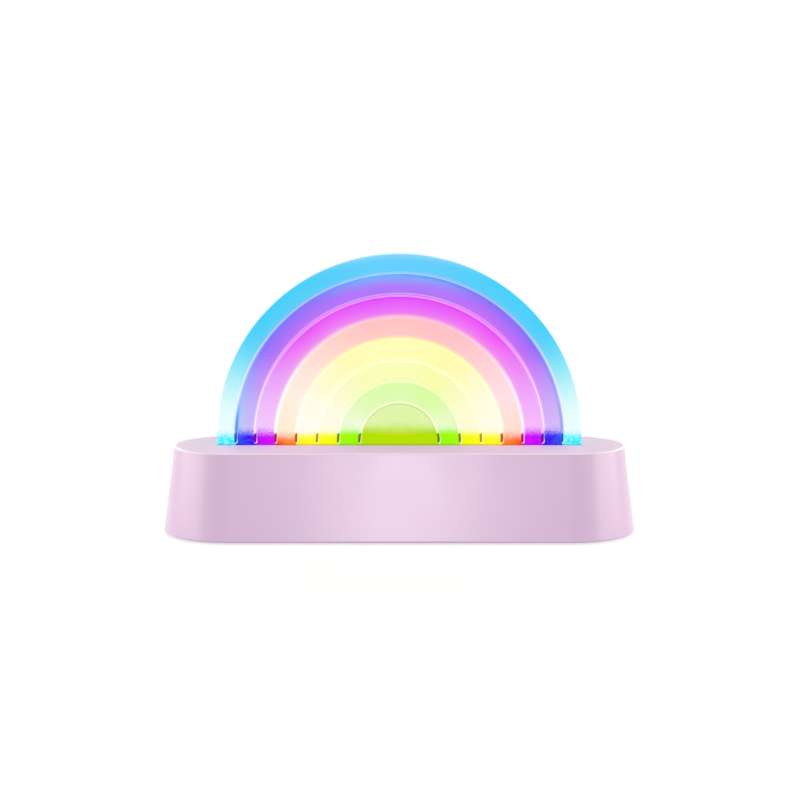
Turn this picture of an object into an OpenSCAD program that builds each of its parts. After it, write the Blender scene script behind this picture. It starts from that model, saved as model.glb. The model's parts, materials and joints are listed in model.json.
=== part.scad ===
// Rainbow lamp: a grooved acrylic arch, lit from below, on an oval moulded base.
// Millimetres, +Z up, front at -Y, origin under the middle of the base on the table.

/* [Base] */
// Length of the base at its foot
base_l = 204; // [200:1:230]
// Width of the base at its foot
base_w = 61; // [59:1:75]
// Height of the base without its rubber feet
base_h = 37.2; // [36:0.2:50]
// How far each side leans in from foot to top
side_lean = 5; // [2:0.5:6]
// Radius of the top edge
top_edge_r = 0.9; // [0.4:0.1:1.5]
// Radius of the bottom edge
bottom_edge_r = 0.8; // [0.3:0.1:1]
// Thickness of the side wall
wall = 2.4; // [2:0.1:2.8]
// Thickness of the top
roof_t = 2.6; // [2:0.1:3.4]
// Thickness of the base plate
plate_t = 2.4; // [2:0.1:3]
// Width of the housing's rim outside the base plate
plate_lip = 1.4; // [1.2:0.1:1.7]
// Thickness of ribs and fences
rib_t = 1.4; // [1:0.1:2]
// Place of the ribs under the top, from the middle
roof_rib_x = 30; // [20:1:50]

/* [Light panel] */
// Thickness of the acrylic
panel_t = 6; // [4:0.5:8]
// Radius of the outer arch
arch_r = 78.5; // [72:0.5:80]
// Height of the outer arch's centre above the base
arch_rise = 3.7; // [2:0.1:6]
// Number of arched grooves in each face
groove_count = 7; // [5:1:8]
// Width of a groove
groove_w = 1.4; // [1:0.1:2]
// Depth of a groove
groove_depth = 2.2; // [1:0.1:2.6]
// Diameter of a groove's round ends
groove_end_d = 1.6; // [1.2:0.1:2.4]
// How far above the base the grooves end
groove_floor = 0.8; // [0.4:0.1:1.6]
// Radius of the innermost groove, on its middle line
core_r = 17.1; // [15:0.1:19]
// Height of the innermost groove's centre above the base
core_rise = 1.5; // [1:0.1:2.5]
// How much the outer bands are narrowed in all
band_crowding = 2.65; // [0:0.05:4]
// Depth of the collar that guides the panel under the top
collar_h = 3; // [2:0.5:5]
// Thickness of the collar's wall
collar_t = 1.6; // [1.2:0.1:2]
// How far each lug at the panel's foot stands out
lug_w = 4; // [3:0.5:5]
// Height of the lugs
lug_h = 4; // [3:0.5:5]

/* [Light unit] */
// Side of an LED
led_w = 5; // [3.5:0.5:5]
// Height of an LED
led_h = 1.6; // [1.2:0.1:2]
// Diameter of an LED's window
led_window_d = 4; // [2.5:0.1:4.2]
// Number of LEDs under the core
core_leds = 3; // [1:1:3]
// Distance between the LEDs under the core
core_led_pitch = 10; // [8:0.5:11]
// Side of a light chamber in the divider
chamber_w = 6.6; // [6:0.1:7]
// Height of the light divider
divider_h = 5; // [4:0.5:7]
// Width of the light divider
divider_w = 9; // [8.5:0.5:11]
// Thickness of the LED board
led_board_t = 1.2; // [0.8:0.1:1.6]
// Thickness of the carrier's walls
carrier_t = 1.6; // [1.2:0.1:2.2]
// Thickness of the carrier's floor
carrier_floor_t = 2; // [1.5:0.1:3]
// Thickness of the carrier's ears
ear_t = 2.4; // [2:0.1:3]
// Radius of the carrier's ears
ear_r = 4.2; // [4:0.1:4.6]
// Distance of the ears' screws from the carrier's walls
ear_out = 5.8; // [5.4:0.1:6.4]
// Place of the ears' screws along the carrier
ear_x = 50; // [44:1:54]
// Place of the hole for the LED leads along the carrier
lead_hole_x = 62; // [60:0.5:66]
// Length of the hole for the LED leads
lead_hole_l = 7; // [5:0.5:9]
// Width of the hole for the LED leads
lead_hole_w = 5; // [4:0.5:7]

/* [Control board] */
// Length of the control board
board_l = 44; // [42:1:46]
// Width of the control board
board_w = 24; // [23:0.5:24.5]
// Thickness of the control board
board_t = 1.6; // [1:0.1:2]
// Place of the control board's middle along the base
board_x = 36; // [34:0.5:37]
// Height of the posts under the control board
post_h = 4; // [3:0.5:5]
// Diameter of the posts
post_d = 5.4; // [5:0.1:6]
// Distance of the board's screws from its edges
board_inset = 3; // [2.8:0.1:3.4]
// Place of the USB-C inlet from the board's middle
usb_offset = -6; // [-7:0.5:-5]
// Width of the USB-C shell
usb_w = 8.94; // [8.5:0.02:9.2]
// Height of the USB-C shell
usb_h = 3.26; // [3.1:0.02:3.4]
// Depth of the USB-C shell
usb_l = 7.3; // [6.5:0.1:8]
// Wall of the USB-C shell
usb_t = 0.3; // [0.2:0.05:0.4]
// How far the USB-C shell stands out over the board's edge
usb_overhang = 1.6; // [1.4:0.1:1.9]
// Width of the USB-C tongue
tongue_w = 6.7; // [6.4:0.1:6.9]
// Thickness of the USB-C tongue
tongue_t = 0.7; // [0.6:0.05:0.8]
// How far the USB-C tongue stands back from the shell's mouth
tongue_back = 0.9; // [0.6:0.1:1.2]
// Thickness of the block that carries the USB-C tongue
tongue_block = 1.5; // [1:0.1:2]
// Width of the opening for a USB-C plug
port_w = 12.6; // [12:0.1:13.5]
// Height of the opening for a USB-C plug
port_h = 7; // [6.5:0.1:7.2]

/* [Button] */
// Diameter of the button
button_d = 6; // [5:0.1:6.4]
// How far the button stands out of the rear wall
button_proud = 1.5; // [1.2:0.1:1.5]
// Travel of the button
button_travel = 1.5; // [0.8:0.1:1.6]
// Width of the collar that keeps the button in
button_flange = 0.8; // [0.6:0.1:0.9]
// Thickness of the button's collar
flange_t = 1; // [0.8:0.1:1.2]
// Wall of the tube that guides the button
guide_t = 1.5; // [1.2:0.1:1.6]
// Side of the switch, seen along the button
switch_w = 8; // [7:0.1:8.4]
// Depth of the switch
switch_l = 8; // [7.5:0.1:9]
// Place of the switch from the board's middle
switch_offset = 10; // [9.5:0.5:10.5]
// Height of the switch's plunger above the board
plunger_rise = 4.2; // [4.2:0.1:4.6]
// Side of the plunger
plunger_w = 3; // [2.5:0.1:3.4]
// How far the plunger stands out of the switch
plunger_out = 3; // [2.4:0.1:3.5]
// How far the plunger reaches into the switch
plunger_in = 4; // [3:0.1:4.2]
// Room behind the pressed plunger
plunger_room = 0.6; // [0.3:0.1:0.8]

/* [Battery] */
// Length of the battery
cell_l = 50; // [40:1:52]
// Width of the battery
cell_w = 34; // [28:1:36]
// Thickness of the battery
cell_t = 10; // [6:0.5:11]
// Radius of the battery's long edges
cell_edge_r = 2; // [1:0.5:2.5]
// Place of the battery's middle along the base
cell_x = -30; // [-31:0.5:-28]
// Thickness of the foam pad under the battery
pad_t = 0.8; // [0.5:0.1:1.5]
// Height of the fence round the battery
fence_h = 6; // [4:0.5:8]
// Length of each arm of the fence's corners
fence_arm = 9; // [6:0.5:12]

/* [Plugs and leads] */
// Diameter of a lead
lead_d = 1.3; // [1:0.1:1.5]
// Distance between two leads in a plug
lead_pitch = 2; // [1.8:0.1:2.2]
// Width of a socket
socket_w = 5.9; // [5.6:0.1:6.2]
// Height of a socket
socket_h = 4.8; // [4.4:0.1:5.2]
// Depth of a socket
socket_l = 7.6; // [7:0.1:8]
// Wall of a socket
socket_t = 0.5; // [0.4:0.1:0.7]
// Thickness of a socket's back
socket_back = 1; // [0.6:0.1:1.4]
// How far a plug stands out of its socket
plug_out = 1.5; // [1:0.1:2]
// Place of the sockets across the board, from its middle
socket_offset = -3; // [-4:0.5:-2.5]
// How far the sockets stand in from the board's ends
socket_inset = 0.4; // [0.2:0.1:0.8]

/* [Feet and screws] */
// Diameter of a rubber foot
foot_d = 12; // [10:0.5:13]
// Thickness of a rubber foot
foot_t = 1.6; // [1.2:0.1:2]
// How far the feet hold the base off the table
foot_gap = 0.8; // [0.5:0.1:1]
// Distance of the feet from the ends of the base
foot_end_in = 20; // [18:1:22]
// Distance of the feet from the sides of the base
foot_side_in = 15.5; // [14.5:0.5:18]
// Place of the base plate's screws along the base
cover_screw_x = 64; // [63.5:0.5:66]
// Distance of the base plate's screws from the sides of the base
cover_screw_in = 12.5; // [11.5:0.5:14]
// Diameter of the base plate's screws
cover_screw_d = 2.6; // [2.4:0.1:3]
// Length of the base plate's screws under the head
cover_screw_l = 12; // [8:1:16]
// Diameter of the bosses for the base plate's screws
boss_d = 7; // [6.5:0.1:8]
// Height of the pads under those bosses, on the base plate
cover_pad_h = 1.8; // [1.2:0.1:3]
// Thickness under the heads of the base plate's screws
cover_seat_t = 2.2; // [1.6:0.1:2.3]
// Diameter of the carrier's screws
carrier_screw_d = 2.2; // [2:0.1:2.6]
// Length of the carrier's screws under the head
carrier_screw_l = 7.5; // [5:0.5:8]
// Diameter of the carrier's bosses
carrier_boss_d = 6.4; // [6:0.1:7]
// Diameter of the control board's screws
board_screw_d = 1.8; // [1.6:0.1:2]
// Length of the control board's screws under the head
board_screw_l = 5; // [4:0.5:5]

/* [Fits] */
// Gap round the panel in its slot
panel_fit = 0.2; // [0.1:0.05:0.3]
// Gap round the base plate
plate_fit = 0.2; // [0.1:0.05:0.3]
// Gap round parts that lie in a pocket
pocket_fit = 0.3; // [0.2:0.05:0.4]
// Gap round the button and its plunger
slide_fit = 0.15; // [0.1:0.05:0.25]
// Gap between the button's collar and its guide
flange_fit = 0.1; // [0.05:0.05:0.2]
// Gap between a screw and its pilot hole
pilot_fit = 0.04; // [0.02:0.01:0.06]
// Gap between a screw and the hole it passes through
pass_fit = 0.3; // [0.2:0.05:0.4]

/* [Hidden] */
$fn = 96;

// Heights above the table, and places on the base plate
top_z = foot_gap + base_h;
roof_z = top_z - roof_t;
collar_z = roof_z - collar_h;
panel_foot_z = collar_z - lug_h;
led_board_z = panel_foot_z - divider_h - led_board_t;
carrier_z = led_board_z - carrier_floor_t;
plate_z = foot_gap + plate_t;
board_z = plate_z + post_h;
board_top_z = board_z + board_t;
cell_z = plate_z + pad_t;
boss_top_z = top_z - roof_t / 2;
cover_boss_z = plate_z + cover_pad_h;
cover_seat_z = cover_boss_z - cover_seat_t;
foot_x = base_l / 2 - foot_end_in;
foot_y = base_w / 2 - foot_side_in;
cover_screw_y = base_w / 2 - cover_screw_in;
function head_h(d) = 0.7 * d;
function head_d(d) = 2 * d;

// Sides of the base: a straight side that leans in, round each end's upright axis
lean_angle = atan(side_lean / base_h);
end_x = (base_l - base_w) / 2;
arc_steps = 6;
function side_r(z) = base_w / 2 - (z - foot_gap) * tan(lean_angle);
function inner_r(z) = side_r(z) - wall / cos(lean_angle);
function edge_centre(r, z) = [side_r(z) - r / cos(lean_angle), z];
function arc(centre, r, from, to) =
    [for (i = [0:arc_steps]) let (a = from + (to - from) * i / arc_steps) centre + r * [cos(a), sin(a)]];
function mirrored(points) = [for (i = [len(points) - 1:-1:0]) [-points[i][0], points[i][1]]];

shell_side = concat(
    arc(edge_centre(bottom_edge_r, foot_gap + bottom_edge_r), bottom_edge_r, -90, lean_angle),
    arc(edge_centre(top_edge_r, top_z - top_edge_r), top_edge_r, lean_angle, 90));
cavity_side = [[inner_r(0), 0], [inner_r(roof_z), roof_z]];

// Arcs of the panel: number 0 is the innermost groove and number groove_count the outline
function arc_share(k) = k / groove_count;
function crowding(k) = band_crowding * (arc_share(k) - pow(arc_share(k), 3));
function arc_r(k) = core_r + (arch_r - core_r) * arc_share(k) + crowding(k);
function arc_rise(k) = core_rise + (arch_rise - core_rise) * pow(arc_share(k), 3);
function band_x(k) = (arc_r(k) + arc_r(k + 1)) / 2;
groove_end_z = groove_floor + groove_end_d / 2;
led_places = concat(
    [for (i = [0:core_leds - 1]) (i - (core_leds - 1) / 2) * core_led_pitch],
    [for (k = [0:groove_count - 1], side = [-1, 1]) side * band_x(k)]);

// Light unit
trough_l = 2 * (arch_r + lug_w / 2);
trough_w = divider_w + 2 * panel_fit;
strip_l = trough_l - 2 * pocket_fit;
ear_y = trough_w / 2 + carrier_t + ear_out;
ear_places = [for (sx = [-1, 1], sy = [-1, 1]) [sx * ear_x, sy * ear_y]];
ear_z = panel_foot_z - ear_t;

// Control board, placed from the rear wall
usb_z = board_top_z + usb_h / 2;
usb_face_y = inner_r(usb_z) - pocket_fit;
board_rear_y = usb_face_y - usb_overhang;
board_y = board_rear_y - board_w / 2;
usb_x = board_x + usb_offset;
board_screw_places = [for (sx = [-1, 1], sy = [-1, 1])
    [board_x + sx * (board_l / 2 - board_inset), board_y + sy * (board_w / 2 - board_inset)]];

// Button and switch, placed from the rear wall
button_x = board_x + switch_offset;
button_z = board_top_z + plunger_rise;
guide_r = button_d / 2 + slide_fit + guide_t;
guide_y = board_rear_y + pocket_fit;
flange_y = guide_y - flange_fit;
button_face_y = side_r(button_z) + button_proud;
switch_y = flange_y - flange_t - plunger_out;
plunger_bore = plunger_in + button_travel + plunger_room;

// Plugs and sockets on the control board
socket_y = board_y + socket_offset;
socket_axis_z = board_top_z + socket_h / 2;
battery_socket_x = board_x - board_l / 2 + socket_inset;
led_socket_x = board_x + board_l / 2 - socket_inset;

// Chips: each row is a chip's size and its place from the board's middle
chips = [[[6, 5, 1.6], [-4, -5]], [[3, 3, 0.9], [4, -5]], [[4, 4, 2.4], [2, 2]]];

// Leads: each row is a point of one lead's route, and side is -1 or 1 for the two leads of a pair
lead_sides = 8;
lead_steps = 3;
function battery_route(side) = let (s = side * lead_pitch / 2) [
    [cell_x + cell_l / 2, 3 * side - 4, cell_z + cell_t / 2],
    [cell_x + cell_l / 2 + 3, 3 * side - 4, cell_z + cell_t / 2],
    [cell_x + cell_l / 2 + 8, s * 1.6 + 2, socket_axis_z + 2],
    [battery_socket_x - 6, s * 1.2 + socket_y - 1, socket_axis_z + 0.6],
    [battery_socket_x - plug_out - 2, s + socket_y, socket_axis_z],
    [battery_socket_x - plug_out, s + socket_y, socket_axis_z]];
function led_route(side) = let (s = side * lead_pitch / 2) [
    [led_socket_x + plug_out, s + socket_y, socket_axis_z],
    [led_socket_x + plug_out + 2, s + socket_y, socket_axis_z],
    [lead_hole_x + 2 + s, socket_y - 3, socket_axis_z + 2],
    [lead_hole_x + 1 + s, 2, carrier_z - 3],
    [lead_hole_x + s, 0, carrier_z],
    [lead_hole_x + s, 0, led_board_z]];

shell_colour = [0.87, 0.78, 0.87];
board_colour = [0.12, 0.35, 0.22];
white_plastic = [0.93, 0.93, 0.92];
black_plastic = [0.1, 0.1, 0.11];
bright_metal = [0.75, 0.76, 0.78];

// A solid with straight sides between two round ends, from the right-hand side of its cross-section
module oval(side) {
    last = len(side) - 1;
    half = concat([[0, side[0][1]]], side, [[0, side[last][1]]]);
    for (turn = [-1, 1])
        translate([turn * end_x, 0, 0]) rotate([0, 0, -90 * turn])
            rotate_extrude(angle = 180) polygon(half);
    translate([-end_x, 0, 0]) rotate([90, 0, 90])
        linear_extrude(2 * end_x) polygon(concat(side, mirrored(side)));
}

module upright_oval(r, z, h) {
    oval([[r, z], [r, z + h]]);
}

module block(size, at) {
    translate([at[0] - size[0] / 2, at[1] - size[1] / 2, at[2]]) cube(size);
}

module post(d, h, at) {
    translate(at) cylinder(d = d, h = h);
}

// A round bar along Y, from the rear face at y back by l
module bar_y(d, l, x, y, z) {
    translate([x, y, z]) rotate([90, 0, 0]) cylinder(d = d, h = l);
}

module four(x, y) {
    for (sx = [-1, 1], sy = [-1, 1]) translate([sx * x, sy * y, 0]) children();
}

// Housing: a drafted shell, open below, with the panel's slot, collar and bosses inside
module shell_body() {
    difference() {
        oval(shell_side);
        oval(cavity_side);
        upright_oval(base_w / 2 - plate_lip, 0, plate_z);
    }
}

module housing_bosses() {
    gusset_l = base_w / 2 - cover_screw_y;
    gusset_z = cover_boss_z + boss_d / 2;
    four(cover_screw_x, cover_screw_y) post(boss_d, boss_top_z - cover_boss_z, [0, 0, cover_boss_z]);
    for (sx = [-1, 1], sy = [-1, 1])
        block([rib_t, gusset_l, boss_top_z - gusset_z],
            [sx * cover_screw_x, sy * (cover_screw_y + gusset_l / 2), gusset_z]);
    for (p = ear_places) post(carrier_boss_d, boss_top_z - panel_foot_z, [p[0], p[1], panel_foot_z]);
}

collar_l = 2 * (arch_r + panel_fit + collar_t);
collar_w = panel_t + 2 * (panel_fit + collar_t);
module housing_collar() {
    block([collar_l, collar_w, boss_top_z - collar_z], [0, 0, collar_z]);
    for (sx = [-1, 1]) block([rib_t, base_w, boss_top_z - collar_z], [sx * roof_rib_x, 0, collar_z]);
}

// Plug-sized opening in the rear wall
module port_cut() {
    at_usb(usb_l / 2 - base_w) rounded_slab(port_w, port_h, base_w);
}

module housing() color(shell_colour) difference() {
    union() {
        shell_body();
        intersection() {
            oval(shell_side);
            union() {
                housing_bosses();
                housing_collar();
                bar_y(2 * guide_r, base_w / 2 - guide_y, button_x, base_w / 2, button_z);
            }
        }
    }
    block([2 * (arch_r + panel_fit), panel_t + 2 * panel_fit, base_h], [0, 0, collar_z - 1]);
    four(cover_screw_x, cover_screw_y)
        post(cover_screw_d + 2 * pilot_fit, cover_screw_l, [0, 0, cover_boss_z - cover_seat_t / 4]);
    for (p = ear_places)
        post(carrier_screw_d + 2 * pilot_fit, carrier_screw_l, [p[0], p[1], panel_foot_z - 0.7 * ear_t]);
    port_cut();
    bar_y(button_d + 2 * slide_fit, base_w, button_x, guide_y + base_w - 1, button_z);
}

// Base plate: closes the housing, and carries the feet, the battery and the control board
plate_mid_z = foot_gap + plate_t / 2;
fence_l = cell_l + 2 * pocket_fit;
fence_w = cell_w + 2 * pocket_fit;
module battery_fence() {
    for (sx = [-1, 1], sy = [-1, 1]) {
        x = cell_x + sx * (fence_l / 2 + rib_t / 2);
        y = sy * (fence_w / 2 + rib_t / 2);
        h = plate_t / 2 + fence_h;
        block([rib_t, fence_arm, h], [x, y - sy * (fence_arm - rib_t) / 2, plate_mid_z]);
        block([fence_arm, rib_t, h], [x - sx * (fence_arm - rib_t) / 2, y, plate_mid_z]);
    }
}

module base_plate() color(shell_colour) difference() {
    union() {
        upright_oval(base_w / 2 - plate_lip - plate_fit, foot_gap, plate_t);
        four(cover_screw_x, cover_screw_y)
            post(boss_d + rib_t, plate_t / 2 + cover_pad_h, [0, 0, plate_mid_z]);
        for (p = board_screw_places) post(post_d, plate_t / 2 + post_h, [p[0], p[1], plate_mid_z]);
        battery_fence();
    }
    four(cover_screw_x, cover_screw_y) {
        post(head_d(cover_screw_d) + 2 * pass_fit, cover_seat_z, [0, 0, 0]);
        post(cover_screw_d + 2 * pass_fit, base_h, [0, 0, 0]);
    }
    four(foot_x, foot_y) post(foot_d + 2 * plate_fit, foot_t, [0, 0, 0]);
    for (p = board_screw_places)
        post(board_screw_d + 2 * pilot_fit, board_screw_l,
            [p[0], p[1], board_z + board_t / 2 - board_screw_l]);
}

module rubber_foot(sx, sy) {
    color([0.25, 0.24, 0.26]) post(foot_d, foot_t, [sx * foot_x, sy * foot_y, 0]);
}

module foot_front_left() rubber_foot(-1, -1);
module foot_front_right() rubber_foot(1, -1);
module foot_rear_left() rubber_foot(-1, 1);
module foot_rear_right() rubber_foot(1, 1);

// Light panel: a sheet with arched grooves in both faces, drawn from the front with the base's top at zero
module arch_groove(k) {
    rise = arc_rise(k);
    end_x = sqrt(arc_r(k) * arc_r(k) - pow(groove_end_z - rise, 2));
    intersection() {
        translate([0, rise]) difference() {
            circle(arc_r(k) + groove_w / 2);
            circle(arc_r(k) - groove_w / 2);
        }
        translate([-2 * arch_r, groove_end_z]) square(4 * arch_r);
    }
    for (side = [-1, 1]) translate([side * end_x, groove_end_z]) circle(d = groove_end_d);
}

module panel_outline() {
    depth = top_z - panel_foot_z;
    intersection() {
        translate([0, arch_rise]) circle(arch_r);
        translate([-2 * arch_r, -depth]) square(4 * arch_r);
    }
    translate([-arch_r - lug_w, -depth]) square([2 * (arch_r + lug_w), lug_h]);
}

module light_panel() color([0.75, 0.85, 0.98]) translate([0, 0, top_z]) rotate([90, 0, 0]) difference() {
    translate([0, 0, -panel_t / 2]) linear_extrude(panel_t) panel_outline();
    for (face = [0, 1], k = [0:groove_count - 1]) mirror([0, 0, face])
        translate([0, 0, panel_t / 2 - groove_depth]) linear_extrude(panel_t) arch_groove(k);
}

// Light unit: trough, board, LEDs and the divider that keeps their colours apart
module led_carrier() color(white_plastic) difference() {
    union() {
        block([trough_l + 2 * carrier_t, trough_w + 2 * carrier_t, panel_foot_z - carrier_z],
            [0, 0, carrier_z]);
        for (p = ear_places) post(2 * ear_r, ear_t, [p[0], p[1], ear_z]);
        for (sx = [-1, 1]) block([2 * ear_r, 2 * ear_y, ear_t], [sx * ear_x, 0, ear_z]);
    }
    block([trough_l, trough_w, base_h], [0, 0, led_board_z]);
    for (p = ear_places) post(carrier_screw_d + 2 * pass_fit, base_h, [p[0], p[1], carrier_z]);
    block([lead_hole_l, lead_hole_w, base_h], [lead_hole_x, 0, carrier_z - 1]);
}

module light_divider() color(white_plastic) difference() {
    block([strip_l, divider_w, divider_h], [0, 0, panel_foot_z - divider_h]);
    for (x = led_places) block([chamber_w, chamber_w, base_h], [x, 0, carrier_z]);
}

module led_board() color(board_colour) block([strip_l, divider_w, led_board_t], [0, 0, led_board_z]);

module leds() color([0.98, 0.95, 0.7]) for (x = led_places) difference() {
    block([led_w, led_w, led_h], [x, 0, led_board_z + led_board_t]);
    post(led_window_d, led_h, [x, 0, led_board_z + led_board_t + led_h - 0.3]);
}

// Pan head screw with its head's underside at the given place, pointing up or down
module screw(d, l, at, up) {
    translate(at) {
        translate([0, 0, up ? 0 : -l]) cylinder(d = d, h = l);
        translate([0, 0, up ? -head_h(d) : 0]) cylinder(d = head_d(d), h = head_h(d));
    }
}

module carrier_screws() color(bright_metal) {
    for (p = ear_places) screw(carrier_screw_d, carrier_screw_l, [p[0], p[1], ear_z], true);
}

module cover_screws() color(bright_metal) four(cover_screw_x, cover_screw_y)
    screw(cover_screw_d, cover_screw_l, [0, 0, cover_seat_z], true);

module board_screws() color(bright_metal) {
    for (p = board_screw_places) screw(board_screw_d, board_screw_l, [p[0], p[1], board_top_z], false);
}

// Control board and what is soldered on it
module control_board() color(board_colour) difference() {
    block([board_l, board_w, board_t], [board_x, board_y, board_z]);
    for (p = board_screw_places) post(board_screw_d + pass_fit, base_h, [p[0], p[1], 0]);
}

module board_chips() color(black_plastic) {
    for (c = chips) block(c[0], [board_x + c[1][0], board_y + c[1][1], board_top_z]);
}

module rounded_slab(w, h, l) {
    straight = w - h;
    for (side = [-1, 1]) translate([side * straight / 2, 0, 0]) cylinder(d = h, h = l);
    translate([-straight / 2, -h / 2, 0]) cube([straight, h, l]);
}

module at_usb(back) {
    translate([usb_x, usb_face_y - back, usb_z]) rotate([90, 0, 0]) children();
}

module usb_shell() color(bright_metal) difference() {
    at_usb(0) rounded_slab(usb_w, usb_h, usb_l);
    at_usb(-usb_t) rounded_slab(usb_w - 2 * usb_t, usb_h - 2 * usb_t, usb_l + 2 * usb_t);
}

module usb_tongue() color(black_plastic) {
    reach = usb_l - tongue_back;
    at_usb(usb_l - tongue_block) rounded_slab(usb_w - 2 * usb_t, usb_h - 2 * usb_t, tongue_block);
    block([tongue_w, reach, tongue_t], [usb_x, usb_face_y - usb_l + reach / 2, usb_z - tongue_t / 2]);
}

module switch_body() color(black_plastic) difference() {
    block([switch_w, switch_l, 2 * plunger_rise], [button_x, switch_y - switch_l / 2, board_top_z]);
    block([plunger_w + 2 * slide_fit, 2 * plunger_bore, plunger_w + 2 * slide_fit],
        [button_x, switch_y, button_z - plunger_w / 2 - slide_fit]);
}

module switch_plunger() color(white_plastic)
    block([plunger_w, plunger_out + plunger_in, plunger_w],
        [button_x, switch_y + (plunger_out - plunger_in) / 2, button_z - plunger_w / 2]);

module button_cap() color(shell_colour) {
    bar_y(button_d, button_face_y - flange_y + flange_t, button_x, button_face_y, button_z);
    bar_y(button_d + 2 * button_flange, flange_t, button_x, flange_y, button_z);
}

// Battery in its fence, on a foam pad
module battery() color([0.7, 0.72, 0.75]) translate([cell_x - cell_l / 2, 0, cell_z])
    rotate([90, 0, 90]) linear_extrude(cell_l) {
        flat = cell_w - 2 * cell_edge_r;
        translate([-flat / 2, 0]) square([flat, cell_t]);
        translate([-cell_w / 2, cell_edge_r]) square([cell_w, cell_t - 2 * cell_edge_r]);
        for (sx = [-1, 1], z = [cell_edge_r, cell_t - cell_edge_r])
            translate([sx * flat / 2, z]) circle(cell_edge_r);
    }

module battery_pad() color([0.3, 0.3, 0.32]) {
    inset = 2 * (cell_edge_r + 1);
    block([cell_l - inset, cell_w - inset, pad_t], [cell_x, 0, plate_z]);
}

// Socket with its mouth toward mouth (-1 left, 1 right), its mouth at x
module lead_socket(x, mouth) {
    color(white_plastic) difference() {
        block([socket_l, socket_w, socket_h], [x - mouth * socket_l / 2, socket_y, board_top_z]);
        block([socket_l, socket_w - 2 * socket_t, socket_h - 2 * socket_t],
            [x - mouth * (socket_l / 2 - socket_back), socket_y, board_top_z + socket_t]);
    }
}

module lead_plug(x, mouth) {
    inset = 2 * (socket_t + slide_fit);
    plug_l = socket_l - socket_back - slide_fit + plug_out;
    color(white_plastic) block([plug_l, socket_w - inset, socket_h - inset],
        [x + mouth * (plug_out - plug_l / 2), socket_y, board_top_z + inset / 2]);
}

module battery_socket() lead_socket(battery_socket_x, -1);
module battery_plug() lead_plug(battery_socket_x, -1);
module led_socket() lead_socket(led_socket_x, 1);
module led_plug() lead_plug(led_socket_x, 1);

// A lead: a tube of flat sides swept along a smooth curve through the route's points
function unit(v) = v / norm(v);
function curve_point(p, i, t) =
    let (a = p[max(i - 1, 0)], b = p[i], c = p[i + 1], d = p[min(i + 2, len(p) - 1)])
    b + 0.5 * ((c - a) * t + (2 * a - 5 * b + 4 * c - d) * t * t + (3 * b - a - 3 * c + d) * t * t * t);
function curve(p) = concat(
    [for (i = [0:len(p) - 2], s = [0:lead_steps - 1]) curve_point(p, i, s / lead_steps)], [p[len(p) - 1]]);
function heading(route, p, i) =
    i == 0 ? route[1] - route[0]
    : i == len(p) - 1 ? route[len(route) - 1] - route[len(route) - 2]
    : p[i + 1] - p[i - 1];
function ring(centre, ahead, across) =
    let (u = lead_d / 2 * unit(cross(ahead, across)), v = lead_d / 2 * unit(cross(ahead, u)))
    [for (j = [0:lead_sides - 1]) let (a = 360 * j / lead_sides) centre + cos(a) * u + sin(a) * v];

module lead(route, across) {
    p = curve(route);
    n = lead_sides;
    points = [for (i = [0:len(p) - 1]) each ring(p[i], heading(route, p, i), across)];
    last = (len(p) - 1) * n;
    sides = [for (i = [0:len(p) - 2], j = [0:n - 1]) let (k = (j + 1) % n)
        each [[i * n + j, i * n + k, i * n + n + j], [i * n + k, i * n + n + k, i * n + n + j]]];
    caps = [[for (j = [n - 1:-1:0]) j], [for (j = [0:n - 1]) last + j]];
    polyhedron(points, concat(sides, caps));
}

module battery_leads() {
    color([0.75, 0.12, 0.1]) lead(battery_route(1), [0, 0, 1]);
    color(black_plastic) lead(battery_route(-1), [0, 0, 1]);
}

module led_leads() {
    color([0.75, 0.12, 0.1]) lead(led_route(1), [1, 1, 0]);
    color(black_plastic) lead(led_route(-1), [1, 1, 0]);
}

housing();
base_plate();
foot_front_left();
foot_front_right();
foot_rear_left();
foot_rear_right();
light_panel();
led_carrier();
light_divider();
led_board();
leds();
carrier_screws();
control_board();
board_chips();
board_screws();
usb_shell();
usb_tongue();
switch_body();
switch_plunger();
button_cap();
battery();
battery_pad();
battery_leads();
battery_plug();
battery_socket();
led_leads();
led_plug();
led_socket();
cover_screws();
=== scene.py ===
"""Rainbow lamp: looks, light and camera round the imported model. Metres, +Z up, front at -Y."""
import json
import math

import bmesh
import bpy
import numpy as np
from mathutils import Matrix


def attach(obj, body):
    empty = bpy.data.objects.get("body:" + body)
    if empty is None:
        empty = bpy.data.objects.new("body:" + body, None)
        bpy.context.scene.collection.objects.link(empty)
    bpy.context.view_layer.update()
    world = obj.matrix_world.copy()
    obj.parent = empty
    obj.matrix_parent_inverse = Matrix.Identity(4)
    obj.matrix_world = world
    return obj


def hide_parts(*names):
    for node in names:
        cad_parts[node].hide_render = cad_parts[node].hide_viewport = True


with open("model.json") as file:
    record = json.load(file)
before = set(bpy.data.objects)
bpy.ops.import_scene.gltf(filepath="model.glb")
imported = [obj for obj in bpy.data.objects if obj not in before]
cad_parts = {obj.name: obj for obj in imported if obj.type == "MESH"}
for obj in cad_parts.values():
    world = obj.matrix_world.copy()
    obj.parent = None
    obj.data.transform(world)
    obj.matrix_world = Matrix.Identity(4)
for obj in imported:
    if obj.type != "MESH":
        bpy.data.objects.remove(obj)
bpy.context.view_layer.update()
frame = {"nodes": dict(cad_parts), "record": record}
nodes = frame["nodes"]
MM = 0.001
BASE_TOP = 38.0  # height of the base's top in millimetres


# Colours
def linear(rgb):
    """Written sRGB numbers from 0 to 255 as the linear colours that the shader works in."""
    c = np.asarray(rgb, float) / 255.0
    return np.where(c <= 0.04045, c / 12.92, ((c + 0.055) / 1.055) ** 2.4)


def colour(rgb):
    """A written colour as a shader socket takes it."""
    return (*[float(v) for v in linear(rgb)], 1.0)


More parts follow.
